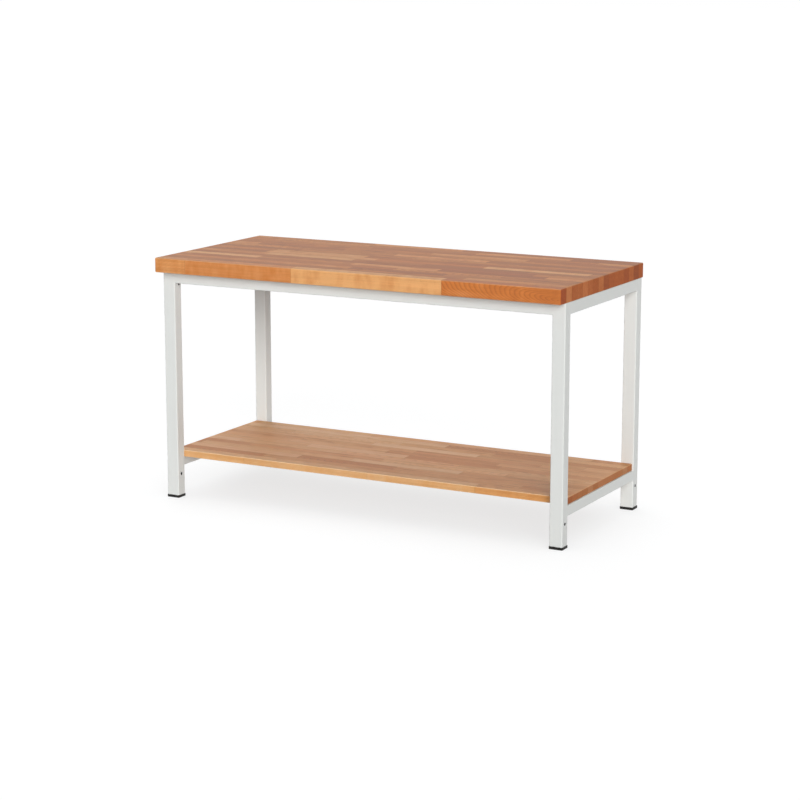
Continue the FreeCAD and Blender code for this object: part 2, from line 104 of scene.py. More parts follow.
length = setting(FloatProperty, unit="LENGTH", precision=4)
share = setting(FloatProperty, min=0, max=1, subtype="FACTOR")
strength = setting(FloatProperty, min=0)
arc = setting(FloatProperty, subtype="ANGLE")
focal = setting(FloatProperty, min=1)
whole = setting(IntProperty, min=0)
count = setting(IntProperty, min=1)
colour = setting(FloatVectorProperty, size=3, min=0, max=1, subtype="COLOR")
position = setting(FloatVectorProperty, size=3, subtype="XYZ", unit="LENGTH")
rotation = setting(FloatVectorProperty, size=3, subtype="EULER")
per_stave = setting(FloatVectorProperty, size=4)
length_per_stave = setting(FloatVectorProperty, size=4, unit="LENGTH")


def radians(*degrees):
    """Angles in radians."""
    return [math.radians(degree) for degree in degrees]


def board_with(**defaults):
    """Properties of a board with other defaults, as the annotations of a class."""
    changed = {}
    for key, default in defaults.items():
        usual = BoardLook.__annotations__[key]
        changed[key] = usual.function(**{**usual.keywords, "default": default})
    return changed


class BoardLook:
    """What the worktop and the shelf share: a board of beech staves, glued side by side and end to end."""

    stave_width: length("Stave width", 0.042, "Width of a stave, before it is fitted to the board's depth")
    stave_length: length("Stave length", 0.38, "Mean length of a stave")
    ring_pitch: length("Ring pitch", 0.0042, "From one growth ring to the next")
    pale: colour("Pale wood", (0.75, 0.39, 0.155), "Colour of the palest staves")
    middle: colour("Middle wood", (0.555, 0.212, 0.0515), "Colour of most staves")
    dark: colour("Dark wood", (0.385, 0.128, 0.034), "Colour of the darkest staves")
    tone_spread: share("Tone spread", 1.0, "How much the staves differ from each other")
    # Painted shade: how much darker the faces are painted from left to right.
    drift: share("Drift", 0.24, "How much darker the staves of the faces grow from left to right")
    end_grain: share("End grain", 0.84, "Brightness of end grain beside long grain")
    # Painted shade: how much darker the faces that look to the front are painted.
    front_grain: share("Front edge", 1.0, "Brightness of the front edge beside the faces")
    end_red: share("End redness", 0.60, "How much redder end grain is")
    ring_depth: share("Ring depth", 0.28, "How much darker late wood is in the rings of a dark stave")
    streak_depth: share("Streak depth", 0.34, "How much darker in tone the short streaks are")
    joint_depth: share("Joint depth", 0.35, "How much darker a glue line is")
    # Painted highlight: the pale colour painted on the long rounded edges, and how much of it they take.
    worn_wood: colour("Worn wood", (0.95, 0.68, 0.42), "Colour of the sanded, handled edges")
    edge_wear: share("Edge wear", 0.25, "How much of the worn colour the edges take")
    gloss: share("Roughness", 0.52, "Roughness of the oiled surface")
    seed: whole("Seed", 265281, "Changes the staves' lengths and colours")
    end_seed: whole("End seed", 2831854, "Changes the tones of the end grain")
    # The four staves of the front edge, from left to right.
    front_joints: position("Front joints", (-0.629, -0.215, 0.338), "Where the front staves meet")
    front_tones: per_stave("Front tones", (0.67, 0.64, 0.96, 0.46), "From 0, dark, to 1, pale")
    front_reds: per_stave("Front reds", (0.30, 0.6, 0.05, 0.9), "How red each is, from 0 to 1")
    front_turns: per_stave("Front turns", (0.22, 0.30, 0.25, 0.075), "Which way each pith lies, in turns")
    front_piths: length_per_stave("Front piths", (0.060, 0.045, 0.300, 0.022), "How far off each pith lies")
    front_slopes: per_stave("Front slopes", (-0.14, 0.06, 0.0, -0.25), "How steeply each pith runs past")


class WorktopLook(BoardLook, bpy.types.PropertyGroup):
    """The worktop's staves."""


class ShelfLook(BoardLook, bpy.types.PropertyGroup):
    """The shelf's staves, paler than the worktop's."""

    __annotations__ = board_with(
        stave_length=0.46, seed=163606, end_seed=12,
        pale=(0.800, 0.495, 0.258), middle=(0.740, 0.380, 0.140), dark=(0.580, 0.224, 0.046),
        drift=0.0, end_grain=0.67, front_grain=0.92, end_red=0.50,
        ring_depth=0.20, edge_wear=0.8, gloss=0.50,
        front_joints=(-0.46, 0.02, 0.418), front_tones=(0.61, 0.64, 0.68, 0.39),
        front_reds=(0.0, 0.0, 0.0, 0.2), front_turns=(0.25, 0.23, 0.27, 0.24),
        front_piths=(0.2, 0.12, 0.25, 0.08), front_slopes=(0.02, -0.03, 0.01, -0.04),
    )


class PaintLook(bpy.types.PropertyGroup):
    """The frame's powder coat and its welds."""

    paint: colour("Paint", (0.705, 0.72, 0.70), "Light grey powder coat")
    # Bare steel inside the tubes, which also paints shade on the walls of the drilled holes.
    steel: colour("Bare steel", (0.045, 0.044, 0.046), "Mill scale inside the drilled tubes")
    coat_edge: length("Coat edge", 0.0004, "How far the coat reaches into a hole")
    tube_corner: length("Tube corner", 0.003, "Outer corner radius of the tubes")
    gloss: share("Roughness", 0.32, "Roughness of the powder coat")
    grain: length("Orange peel", 0.0016, "Size of the waves in the coat")
    bead_radius: length("Bead radius", 0.0024, "Radius of a weld bead")
    ripple_pitch: length("Ripple pitch", 0.0022, "From one ripple of a bead to the next")
    ripple_depth: share("Ripple depth", 0.10, "How much a bead swells at each ripple")
    seed: whole("Seed", 5, "Changes how uneven the beads are")


class FootLook(bpy.types.PropertyGroup):
    """The moulded foot caps."""

    plastic: colour("Plastic", (0.010, 0.009, 0.008), "Black moulded plastic")
    gloss: share("Roughness", 0.5, "Roughness of the plastic")
    shine: share("Shine", 0.25, "How much the plastic reflects")
    flange_height: length("Flange height", 0.009, "Flange between the leg and the floor")
    flange_corner: length("Flange corner", 0.004, "Corner radius of the flange")
    edge: length("Flange edge", 0.001, "Rounding of the flange's edges")
    plug_gap: length("Plug gap", 0.001, "From the plug's core to the tube's wall")
    plug_wall: length("Plug wall", 0.003, "Wall of the hollow plug")
    plug_corner: length("Plug corner", 0.0015, "Corner radius of the plug's core")
    rib_count: count("Ribs", 4, "Ribs up the plug")
    rib_pitch: length("Rib pitch", 0.006, "From rib to rib")


class ScrewLook(bpy.types.PropertyGroup):
    """The wood screws."""

    zinc: colour("Zinc", (0.62, 0.63, 0.65), "Bright zinc plating")
    gloss: share("Roughness", 0.3, "Roughness of the plating")
    hex_across: length("Hexagon", 0.010, "Worktop screw's head, across flats")
    collar_radius: length("Collar radius", 0.0065, "Collar under the hexagon")
    collar_thickness: length("Collar thickness", 0.0015, "Collar under the hexagon")
    pan_radius: length("Pan head radius", 0.00475, "Shelf screw's head")
    point: length("Point", 0.005, "Length of a screw's point")
    thread_depth: length("Thread depth", 0.0008, "From a thread's crest to its root")
    seed: whole("Seed", 2, "Changes how far each screw is turned")


class StageLook(bpy.types.PropertyGroup):
    """Floor, lights and camera."""

    floor: colour("Floor", (0.60, 0.60, 0.60), "Pale floor, as the table sees it")
    shown_floor: colour("Shown floor", (0.150, 0.157, 0.162), "Pale floor, as the camera sees it")
    floor_glow: strength("Floor glow", 0.93, "Light of the shown floor, which makes it white out of shadow")
    # Painted shadow: the shown floor's glow is dimmed by ambient occlusion near the table.
    shadow_depth: share("Shadow depth", 0.20, "How much of that light is gone where the sky is shut out")
    shadow_reach: length("Shadow reach", 0.45, "How near the table must be to shut out the sky")
    shadow_gain: strength("Shadow gain", 1.25, "How soon the shadow is full as the sky is shut out")
    key_strength: strength("Key light", 3.82, "Strength of the light from the front right")
    key_turn: rotation("Key turn", radians(77.0, 0.0, 34.5), "Rotation of the key light")
    key_spread: arc("Key spread", math.radians(44.0), "Width of the key light")
    fill_strength: strength("Fill light", 1.7, "Strength of the light from the rear left")
    fill_turn: rotation("Fill turn", radians(72.0, 0.0, 225.0), "Rotation of the fill light")
    fill_spread: arc("Fill spread", math.radians(60.0), "Width of the fill light")
    top_strength: strength("Top light", 0.21, "Strength of the light from above")
    top_turn: rotation("Top turn", radians(3.5, 0.0, 0.0), "Rotation of the top light")
    top_spread: arc("Top spread", math.radians(9.0), "Width of the top light")
    sky: strength("Sky", 0.05, "Strength of the light from all round")
    camera_place: position("Camera place", (3.495, -6.490, 1.869), "Where the camera stands")
    camera_turn: arc("Camera turn", math.radians(28.23), "How far it is turned from the table's front")
    camera_dip: arc("Camera dip", math.radians(11.56), "How far it looks down")
    camera_lens: focal("Lens", 99.75, "Focal length in millimetres")


# ---- shader maths
def maths(operation, reflected=False):
    """A method that adds a Math node on a Signal and, where it takes one, another operand."""
    def method(self, *others):
        node = self.tree.nodes.new("ShaderNodeMath")
        node.operation = operation
        operands = (*others, self) if reflected else (self, *others)
        for slot, operand in zip(node.inputs, operands):
            connect(self.tree, slot, operand)
        return Signal(self.tree, node.outputs[0])
    return method


class Signal:
    """A shader socket that stands in a Python expression. Each operator adds a Math node."""

    def __init__(self, tree, socket):
        self.tree = tree
        self.socket = socket

    __add__ = maths("ADD")
    __radd__ = maths("ADD", reflected=True)
    __sub__ = maths("SUBTRACT")
    __rsub__ = maths("SUBTRACT", reflected=True)
    __mul__ = maths("MULTIPLY")
    __rmul__ = maths("MULTIPLY", reflected=True)
    __truediv__ = maths("DIVIDE")
    __gt__ = maths("GREATER_THAN")
    __lt__ = maths("LESS_THAN")
    __abs__ = maths("ABSOLUTE")
    sine = maths("SINE")
    cosine = maths("COSINE")
    root = maths("SQRT")
    floor = maths("FLOOR")
    fraction = maths("FRACT")
    least = maths("MINIMUM")
    most = maths("MAXIMUM")


def connect(tree, slot, value):
    """Feeds a socket from a Signal, or sets it to a number, a vector or an opaque colour."""
    if isinstance(value, Signal):
        tree.links.new(value.socket, slot)
    elif slot.type == "RGBA":
        slot.default_value = (*value, 1.0)
    else:
        slot.default_value = value


class Nodes:
    """A node tree being built."""

    family = "ShaderNode"

    def __init__(self, tree):
        self.tree = tree
        tree.nodes.clear()

    def node(self, kind, inputs=None, output=0, stops=(), **settings):
        """A node of a kind. Its settings and a ramp's stops are made before its inputs are fed."""
        node = self.tree.nodes.new(self.family + kind)
        for key, value in settings.items():
            setattr(node, key, value)
        for number, (at, shade) in enumerate(stops):
            elements = node.color_ramp.elements
            element = elements[number] if number < len(elements) else elements.new(at)
            element.position = at
            element.color = (*shade, 1.0)
        for key, value in (inputs or {}).items():
            connect(self.tree, node.inputs[key], value)
        return Signal(self.tree, node.outputs[output])

    def seen(self):
        """1 for rays that show a thing to the camera, also by reflection or through glass."""
        rays = ("Camera", "Glossy", "Transmission")
        camera, glossy, through = (self.node("LightPath", output=f"Is {ray} Ray") for ray in rays)
        return camera.most(glossy).most(through)

    def end(self, kind, result):
        """Feeds what the tree is built for to its output node."""
        connect(self.tree, self.tree.nodes.new(self.family + kind).inputs[0], result)


class Finish(Nodes):
    """A material being built."""

    def __init__(self, name):
        self.material = bpy.data.materials.new(name)
        self.material.use_nodes = True
        super().__init__(self.material.node_tree)

    def split(self, vector):
        """The three parts of a vector or a colour."""
        parts = self.node("SeparateXYZ", {0: vector}).socket.node.outputs
        return [Signal(self.tree, socket) for socket in parts]

    def join(self, x, y, z):
        """A vector of three parts."""
        return self.node("CombineXYZ", {0: x, 1: y, 2: z})

    def place(self):
        """The Object coordinates, in metres."""
        return self.node("TexCoord", output="Object")

    def noise(self, vector, scale, detail=2.0, roughness=0.5):
        """Noise from about 0 to 1 at a vector."""
        inputs = {"Vector": vector, "Scale": scale, "Detail": detail, "Roughness": roughness}
        return self.node("TexNoise", inputs)

    def draw(self, number, output="Value"):
        """A random number from 0 to 1, or a colour of three, that depends on one number."""
        return self.node("TexWhiteNoise", {"W": number}, output, noise_dimensions="1D")

    def smooth(self, value, low, high):
        """0 below low, 1 above high, and smooth between them."""
        inputs = {"Value": value, 1: low, 2: high}
        return self.node("MapRange", inputs, interpolation_type="SMOOTHSTEP")

    def mix(self, factor, first, second, blend="MIX"):
        """Colours mixed by a factor."""
        inputs = {0: factor, 6: first, 7: second}
        return self.node("Mix", inputs, output=2, data_type="RGBA", blend_type=blend, clamp_factor=True)

    def scale(self, shade, factor):
        """A colour or vector times a number."""
        return self.node("VectorMath", {0: shade, "Scale": factor}, operation="SCALE")

    def vector(self, operation, *operands, output=0):
        """A Vector Math node on these operands, each a Signal or a vector."""
        return self.node("VectorMath", dict(enumerate(operands)), output, operation=operation)

    def inside(self, place, box, corner, skin):
        """1 where a place is deeper in a box with rounded edges than its skin, and 0 outside the box."""
        low, high = box
        core = (high - low) / 2 - Vector((corner, corner, corner))
        from_middle = self.vector("ABSOLUTE", self.vector("SUBTRACT", place, (low + high) / 2))
        past_core = self.vector("MAXIMUM", self.vector("SUBTRACT", from_middle, core), (0.0, 0.0, 0.0))
        return self.smooth(corner - self.vector("LENGTH", past_core, output="Value"), skin, 2 * skin)

    def bump(self, height, distance, amount):
        """A normal that follows a height from 0 to 1, over distance metres."""
        return self.node("Bump", {"Height": height, "Distance": distance, "Strength": amount})

    def close(self, **inputs):
        """Feeds the Principled shader and the output, and gives back the material."""
        inputs = {key.replace("_", " "): value for key, value in inputs.items()}
        self.end("OutputMaterial", self.node("BsdfPrincipled", inputs))
        return self.material


# ---- materials
class Staves(Finish):
    """A board's material, with signals that tell its glued staves apart."""

    def __init__(self, name, look, low, high):
        super().__init__(name)
        self.look, self.low, self.high = look, low, high
        self.spot = self.place()
        self.x, self.y, self.z = self.split(self.spot)

        # Rows of staves across the board. The first is the front edge.
        self.rows = round((high.y - low.y) / look.stave_width)
        self.width = (high.y - low.y) / self.rows
        self.across = (self.y - low.y) / self.width
        self.row = self.across.floor().most(0.0).least(self.rows - 1.0)
        self.in_row = (self.across - self.row - 0.5) * self.width
        self.in_front = self.row < 0.5

        # Staves of random lengths along each row, and random numbers that stay the same over a stave.
        along = self.x / look.stave_length + self.draw(self.row + look.seed * 7.31) * 61.7
        cells = {"W": along, "Scale": 1.0, "Randomness": 0.75}
        chances = self.node("TexVoronoi", cells, "Color", voronoi_dimensions="1D")
        middle = self.node("TexVoronoi", cells, "W", voronoi_dimensions="1D")
        edge = self.node("TexVoronoi", cells, voronoi_dimensions="1D", feature="DISTANCE_TO_EDGE")

        # The front row's staves meet at given joints.
        ends = (low.x, *look.front_joints, high.x)
        middles = [(start + end) / 2 for start, end in zip(ends, ends[1:])]
        to_joint = high.x - low.x
        for joint in look.front_joints:
            to_joint = abs(self.x - joint).least(to_joint)
        order = self.of_front([float(stave) for stave in range(len(middles))])
        front_chances = self.draw(order + look.seed * 0.37, "Color")

        self.to_joint = self.choose(edge * look.stave_length, to_joint)
        from_middle = (along - middle) * look.stave_length
        self.from_middle = self.choose(from_middle, self.x - self.of_front(middles))
        draws = zip(self.split(chances), self.split(front_chances))
        self.chance, self.bearing, self.depth = (self.choose(usual, given) for usual, given in draws)

    def of_front(self, values):
        """Out of one value for each stave of the front row, the one of the stave at a place."""
        value = values[0]
        for joint, before, after in zip(self.look.front_joints, values, values[1:]):
            value = (self.x > joint) * (after - before) + value
        return value

    def choose(self, usual, given):
        """What is given in the front row, and what is usual elsewhere."""
        return usual + self.in_front * (given - usual)

    def grain(self, waves, shift, detail, roughness=0.5):
        """Noise of so many waves to the metre along, across and up through the staves."""
        stretched = self.vector("MULTIPLY", self.spot, waves)
        return self.noise(self.vector("ADD", stretched, shift), 1.0, detail, roughness)

    def tone(self, end):
        """How pale the stave is, from 0 to about 1. End grain differs more from row to row."""
        # Most staves are of a middle tone, and a few are pale.
        palest = self.smooth(self.chance, 0.90, 0.94)
        usual = 0.5 + (self.chance - 0.5) * self.look.tone_spread + palest * 0.10
        tone = self.choose(usual, self.of_front(self.look.front_tones[:]))
        end_tone = self.draw(self.row + self.look.end_seed * 1.7 + (self.x < 0.0) * 50.0)
        return tone + end * (end_tone - tone) * 0.9

    def redness(self):
        """How red the stave is, from 0 to 1."""
        return self.choose((self.depth * 3.3).fraction() * 0.5, self.of_front(self.look.front_reds[:]))

    def late_wood(self, blotch):
        """1 in the dark part of each growth ring. The rings are circles about a pith beside the stave."""
        slow = self.grain(WANDERING, self.join(self.depth * 40.0, 0.0, 0.0), 2.0)
        turn = self.choose(self.bearing, self.of_front(self.look.front_turns[:])) * math.tau
        cosine, sine = turn.cosine(), turn.sine()
        level = self.z - (self.low.z + self.high.z) / 2
        towards = self.in_row * cosine + level * sine
        beside = level * cosine - self.in_row * sine
        # The pith is not quite parallel to the stave, and wanders a little.
        slope = (self.chance * 7.3).fraction() * 0.36 - 0.18
        slope = self.choose(slope, self.of_front(self.look.front_slopes[:]))
        pith = self.choose(self.depth * 0.070 + 0.006, self.of_front(self.look.front_piths[:]))
        pith = pith + slope * self.from_middle + slow * 0.012
        distance = ((towards - pith) * (towards - pith) + beside * beside).root()
        ring = (distance / self.look.ring_pitch + slow * 1.4 + (blotch - 0.5) * 0.5).fraction()
        return self.smooth(ring, 0.40, 0.94) * (1.0 - self.smooth(ring, 0.94, 1.0))

    def glue_lines(self):
        """1 on the glue between rows, and where staves meet end to end."""
        seam = (self.across + 0.5).floor().most(1.0).least(self.rows - 1.0)
        to_seam = abs(self.across - seam) * self.width
        return 1.0 - self.smooth(to_seam.least(self.to_joint), 0.0002, 0.0008)


def beech(name, look, low, high):
    """Glued beech staves between two corners: growth rings, grain, flecks and glue lines, with painted
    highlights on the rounded edges and painted shade on the faces and the front edge.
    """
    board = Staves(name, look, low, high)
    normal_x, normal_y, normal_z = board.split(board.node("NewGeometry", output="Normal"))
    end = board.smooth(abs(normal_x), 0.55, 0.9)
    front = board.smooth(0.0 - normal_y, 0.5, 0.9)
    faces = board.smooth(abs(normal_z), 0.5, 0.9)
    long_grain = 1.0 - end
    tone = board.tone(end)

    # Fibres and streaks run along the stave. Beech also has short dark flecks and longer dashes along them.
    own = board.depth * 17.0 + board.bearing * 5.0
    shift = board.join(own, 0.0, 0.0)
    blotch = board.grain(BLOTCHES, shift, 2.0)
    late = board.late_wood(blotch)
    fibres = board.grain(FIBRES, shift, 4.0, 0.6)
    streaks = board.grain(STREAKS, shift, 3.0, 0.55)
    flecks = board.smooth(board.grain(FLECKS, board.join(0.0, own, 0.0), 1.0), 0.66, 0.74)
    dashes = board.smooth(board.grain(DASHES, board.join(own, own, 0.0), 2.0), 0.54, 0.70)
    dashes = dashes * long_grain * (1.0 - board.in_front * 0.85)
    # Some figure shimmers across the grain, most in pale wood and on the front edge.
    figure = board.grain(FIGURE, shift, 2.0, 0.6)
    shimmer = (0.16 + tone * 0.44) * (1.0 + board.in_front * 0.4) * long_grain
    glue = board.glue_lines()

    # Figure, blotches and streaks shift the wood's tone, so that its darker places are redder too.
    mood = tone + (blotch - 0.5) * 0.36 + (figure - 0.5) * shimmer
    mood = mood + (streaks - 0.5) * 0.30 - dashes * look.streak_depth
    # Painted shade: the faces are painted darker in tone from left to right.
    mood = mood - ((board.x - low.x) / (high.x - low.x) - 0.25) * faces * look.drift
    shades = [(0.0, look.dark), (0.5, look.middle), (1.0, look.pale)]
    wood = board.node("ValToRGB", {"Fac": mood}, stops=shades)
    wood = board.mix(board.redness(), wood, (1.0, 0.80, 0.68), "MULTIPLY")
    wood = board.mix(end * look.end_red + late * 0.12, wood, (0.75, 0.30, 0.12), "MULTIPLY")

    shade = (1.0 - late * (1.25 - tone) * (0.35 + blotch) * look.ring_depth) * (1.0 - dashes * 0.08)
    shade = shade * (1.0 + (fibres - 0.5) * long_grain * 0.22 + (streaks - 0.5) * 0.24)
    shade = shade * (1.0 - flecks * long_grain * 0.22) * (1.0 - glue * look.joint_depth)
    # End grain is darker, and the faces that look to the front get painted shade.
    shade = shade * (1.0 - end * (1.0 - look.end_grain)) * (1.0 - front * (1.0 - look.front_grain))

    # Painted highlight: the long rounded edges are painted paler, most at the front and not at the rear.
    rounding = 1.0 - abs(normal_x).most(abs(normal_y)).most(abs(normal_z))
    level_edge = board.smooth(rounding, 0.01, 0.12) * board.smooth(abs(normal_z), 0.1, 0.4)
    painted_highlight = level_edge * (1.0 - board.smooth(normal_y, -0.3, 0.2)) * look.edge_wear
    base = board.mix(painted_highlight, board.scale(wood, shade), look.worn_wood)

    roughness = look.gloss + (fibres - 0.5) * 0.16 + end * 0.18 + glue * 0.1
    relief = fibres * long_grain + (1.0 - glue) * 0.8 - flecks * 0.3
    return board.close(Base_Color=base, Roughness=roughness, Normal=board.bump(relief, 0.00012, 0.55))


def powder_coat(look, drilled):
    """Powder coat with fine orange peel and an uneven gloss. Inside the drilled tubes the steel is bare, and
    past the coat's edge the holes' walls are painted dark as shade.
    """
    finish = Finish("powder_coat")
    place = finish.place()
    # Bare steel inside the drilled tubes, and painted shade on the holes' walls past the coat's edge.
    bare_and_hole_shade = 0.0
    for name in drilled:
        bare_and_hole_shade = finish.inside(place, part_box(name), look.tube_corner, look.coat_edge).most(bare_and_hole_shade)
    peel = finish.noise(place, 1.0 / look.grain, 2.0)
    waves = finish.noise(place, 0.12 / look.grain, 2.0)
    patches = finish.noise(place, 7.0, 3.0)
    coated = finish.mix(patches, [0.975 * part for part in look.paint], look.paint)
    base = finish.mix(bare_and_hole_shade, coated, look.steel)
    roughness = look.gloss + (patches - 0.5) * 0.10 + (peel - 0.5) * 0.08 + bare_and_hole_shade * 0.2
    coat = finish.bump(peel * 0.7 + waves * 0.3, 0.00008, 0.5)
    return finish.close(Base_Color=base, Roughness=roughness, Normal=coat)


def moulded_plastic(look):
    """Black moulded plastic with an eroded texture, scuffed grey where it meets the floor."""
    finish = Finish("moulded_plastic")
    place = finish.place()
    height = finish.split(place)[2]
    texture = finish.noise(place, 2600.0, 3.0, 0.65)
    patches = finish.noise(place, 90.0, 3.0)
    scuff = (1.0 - finish.smooth(height, 0.0004, 0.0030)) * finish.smooth(patches, 0.45, 0.7)
    base = finish.mix(scuff * 0.6, look.plastic, (0.16, 0.145, 0.13))
    roughness = look.gloss + (patches - 0.5) * 0.15 + scuff * 0.25
    grain = finish.bump(texture, 0.00006, 0.6)
    return finish.close(Base_Color=base, Roughness=roughness, Specular_IOR_Level=look.shine, Normal=grain)


def zinc_plate(look):
    """Bright zinc with a faint passivated tint and fine turning marks."""
    finish = Finish("zinc_plate")
    place = finish.place()
    patches = finish.noise(place, 160.0, 3.0)
    marks = finish.noise(place, 3800.0, 2.0)
    base = finish.mix(patches, look.zinc, (0.66, 0.63, 0.52))
    roughness = look.gloss + (patches - 0.5) * 0.2 + (marks - 0.5) * 0.12
    turned = finish.bump(marks, 0.00003, 0.6)
    return finish.close(Base_Color=base, Metallic=1.0, Roughness=roughness, Normal=turned)


def backdrop_white(look):
    """Pale floor that the camera sees as white, with the table's shadow on it and a painted shadow under it.
    """
    finish = Finish("backdrop_white")
    plain = finish.node("BsdfDiffuse", {"Color": look.floor})
    shadowed = finish.node("BsdfDiffuse", {"Color": look.shown_floor})
    # Painted shadow: the white glow is dimmed where ambient occlusion finds the table near.
    open_sky = finish.node("AmbientOcclusion", {"Distance": look.shadow_reach}, output="AO", samples=16)
    painted_shadow = ((1.0 - open_sky) * look.shadow_gain).least(1.0)
    glow = look.floor_glow * (1.0 - painted_shadow * look.shadow_depth)
    white = finish.node("Emission", {"Color": (1.0, 1.0, 1.0), "Strength": glow})
    shown = finish.node("AddShader", {0: shadowed, 1: white})
    finish.end("OutputMaterial", finish.node("MixShader", {0: finish.seen(), 1: plain, 2: shown}))
    return finish.material


# ---- shapes
def give(piece, slot, *nodes):
    """Makes a finished piece ride with the table, in place of any nodes given; the material slot is not
    used.
    """
    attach(piece, BODY)
    if nodes:
        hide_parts(*nodes)


def coat_nodes(material, *names):
    """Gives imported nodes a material."""
    for name in names:
        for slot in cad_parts[name].material_slots:
            slot.material = material


def named(part, *choices):
    """The names of a part's nodes in each of its places."""
    return ["_".join((part, *place)) for place in itertools.product(*choices)]


def ring_walls(rings):
    """A bmesh with a wall through rings of as many points each, and its vertices ring by ring."""
    shape = bmesh.new()
    loops = [[shape.verts.new(point) for point in ring] for ring in rings]
    for low, high in zip(loops, loops[1:]):
        for step in range(len(low)):
            shape.faces.new((low[step - 1], low[step], high[step], high[step - 1]))
    return shape, loops


def lofted_shape(name, rings):
    """A closed mesh through rings of points, from its lowest end to its highest."""
    shape, loops = ring_walls(rings)
    shape.faces.new(reversed(loops[0]))
    shape.faces.new(loops[-1])
    return new_mesh(name, shape)


def turned_shape(name, rings):
    """A closed mesh through rings, each a height and a radius, which may be a function of the angle."""
    angles = [math.tau * step / TURNS for step in range(TURNS)]
    circles = []
    for height, radius in rings:
        circle = []
        for angle in angles:
            reach = radius(angle) if callable(radius) else radius
            circle.append((reach * math.cos(angle), reach * math.sin(angle), height))
        circles.append(circle)
    shape, loops = ring_walls(circles)
    for end, order in ((0, -1), (-1, 1)):
        middle = shape.verts.new((0, 0, rings[end][0]))
        for step in range(TURNS):
            shape.faces.new((loops[end][step - 1], loops[end][step], middle)[::order])
    return new_mesh(name, shape)


def new_mesh(name, shape):
    """A mesh from a bmesh, its sharp edges marked and the rest smooth."""
    mesh = bpy.data.meshes.new(name)
    shape.to_mesh(mesh)
    shape.free()
    mesh.shade_smooth()
    mesh.set_sharp_from_angle(angle=SMOOTH_ANGLE)
    return mesh


def new_object(name, data):
    """An object at the origin that holds a mesh, a lamp or a camera."""
    piece = bpy.data.objects.new(name, data)
    bpy.context.scene.collection.objects.link(piece)
    return piece


def thread_rings(look, crest, pitch, tip):
    """Rings of a threaded shank from its seat at height 0: a plain neck, a helix and a point."""
    rings_per_turn, neck, run_in, blunt = 6, 0.006, 0.004, 0.08
    steps = round(tip / (pitch / rings_per_turn))
    rings = []
    for step in range(steps + 1):
        height = tip * step / steps
        taper = min(1.0, (tip - height) / look.point + blunt)
        depth = look.thread_depth * min(1.0, max(0.0, (height - neck) / run_in))

        def radius(angle, height=height, taper=taper, depth=depth):
            phase = (height / pitch - angle / math.tau) % 1.0
            return (crest - depth * abs(2 * phase - 1)) * taper

        rings.append((height, radius))
    return rings


def hex_screw(look, seat_height, tip):
    """Hexagon-head wood screw with a collar, its seat at height 0 and its head below."""
    flat = look.hex_across / 2

    def hexagon(limit):
        def radius(angle):
            side = (angle + math.pi / 6) % (math.pi / 3) - math.pi / 6
            return min(flat / math.cos(side), limit)
        return radius

    collar = look.collar_thickness
    # The end face is round, and widens to the hexagon in steps.
    chamfer, rise, widening = flat * 0.93, 0.00018, 0.0003
    rings = [(-seat_height, chamfer)]
    for step in range(1, 5):
        rings.append((-seat_height + step * rise, hexagon(chamfer + step * widening)))
    rings += [
        (-collar - 0.0001, hexagon(1.0)),
        (-collar, look.collar_radius - 0.0004),
        (-collar + 0.0004, look.collar_radius),
        (0.0, look.collar_radius),
    ]
    return turned_shape("hex_screw", rings + thread_rings(look, *HEX_THREAD, tip))


def pan_screw(look, head_height, tip):
    """Pan-head wood screw with a cross recess, its seat at height 0 and its head below."""
    def cross(reach, waist):
        def radius(angle):
            lobe = abs((angle % (math.pi / 2)) - math.pi / 4) / (math.pi / 4)
            return waist + (reach - waist) * max(0.0, lobe * 3 - 2)
        return radius

    head = look.pan_radius
    rings = [
        (-head_height + 0.0018, cross(0.0009, 0.0005)),
        (-head_height + 0.0001, cross(0.0024, 0.0009)),
        (-head_height, cross(0.0026, 0.0011)),
        (-head_height + 0.00005, 0.0030),
        (-head_height + 0.0005, 0.0036),
        (-head_height + 0.0013, head * 0.88),
        (-head_height + 0.0022, head * 0.97),
        (-0.0003, head),
        (0.0, head - 0.0002),
    ]
    return turned_shape("pan_screw", rings + thread_rings(look, *PAN_THREAD, tip))


def rounded_ring(half_x, half_y, corner, height):
    """Points of a rectangle with rounded corners."""
    points = []
    for quarter, (sign_x, sign_y) in enumerate(((1, 1), (-1, 1), (-1, -1), (1, -1))):
        for step in range(CORNER_POINTS):
            angle = math.pi / 2 * (quarter + step / (CORNER_POINTS - 1))
            x = sign_x * (half_x - corner) + corner * math.cos(angle)
            y = sign_y * (half_y - corner) + corner * math.sin(angle)
            points.append((x, y, height))
    return points


